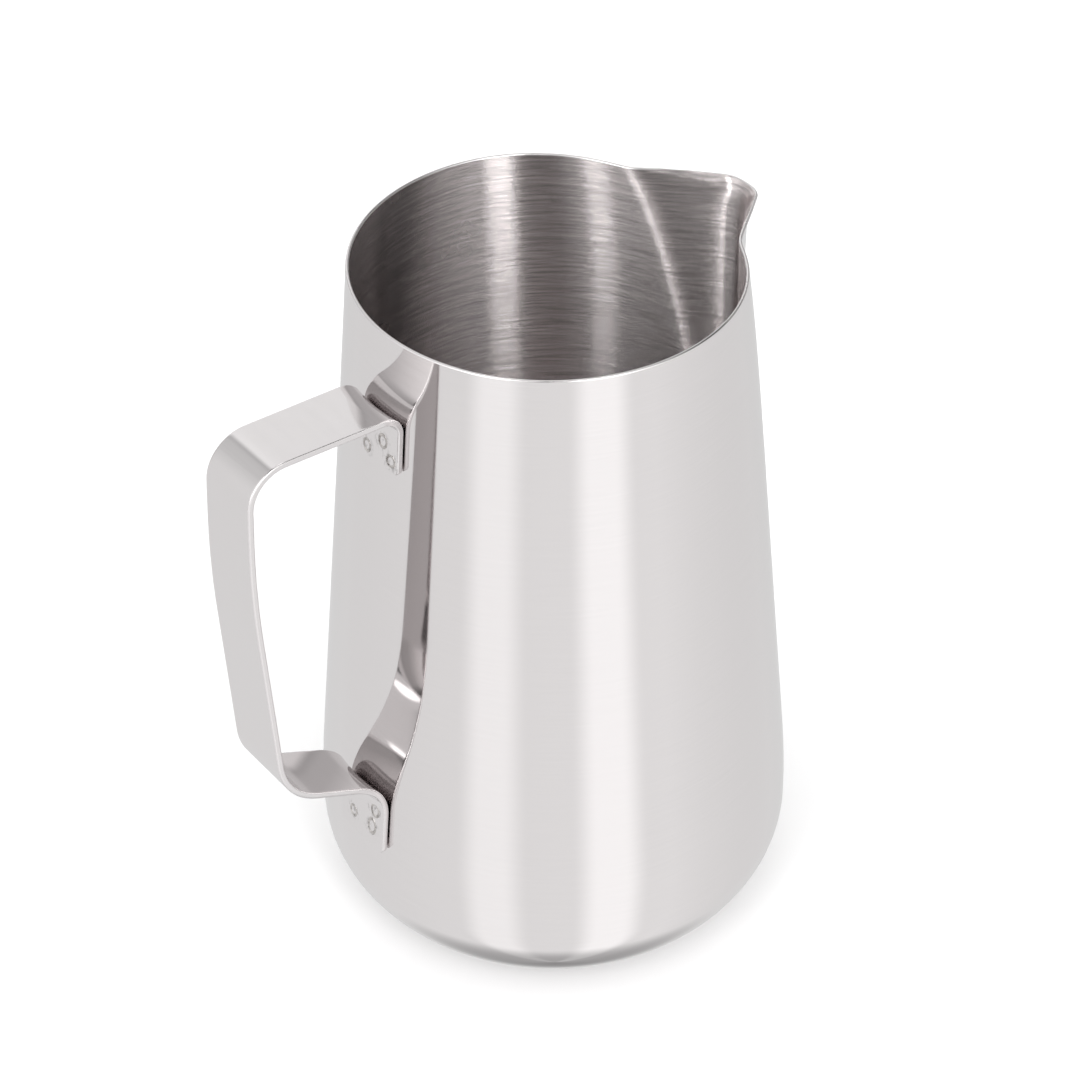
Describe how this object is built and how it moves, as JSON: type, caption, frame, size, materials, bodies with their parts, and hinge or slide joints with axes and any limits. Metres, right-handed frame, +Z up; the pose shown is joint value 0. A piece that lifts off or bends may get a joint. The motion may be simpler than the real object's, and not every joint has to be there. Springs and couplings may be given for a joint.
{
  "type": "milk frothing pitcher",
  "caption": "Tapered steel milk frothing pitcher with a pressed V spout, a rounded base corner and a bent strap handle spot-welded to the wall.",
  "frame": {"origin": "centre of the flat base the pitcher stands on", "axes": "+Z up along the vessel's axis, +X towards the spout, handle towards -X"},
  "size_m": [0.1468, 0.117, 0.1809],
  "materials": {
    "polished_steel": "mirror polished outside, fine circumferential brushing inside",
    "polished_strap": "polished",
    "weld_steel": "dull, slightly heat tinted"
  },
  "bodies": {
    "root": {"vessel": "polished_steel", "handle": "polished_strap", "upper_spot_weld_1": "weld_steel", "upper_spot_weld_2": "weld_steel", "upper_spot_weld_3": "weld_steel", "lower_spot_weld_1": "weld_steel", "lower_spot_weld_2": "weld_steel", "lower_spot_weld_3": "weld_steel"}
  },
  "joints": []
}
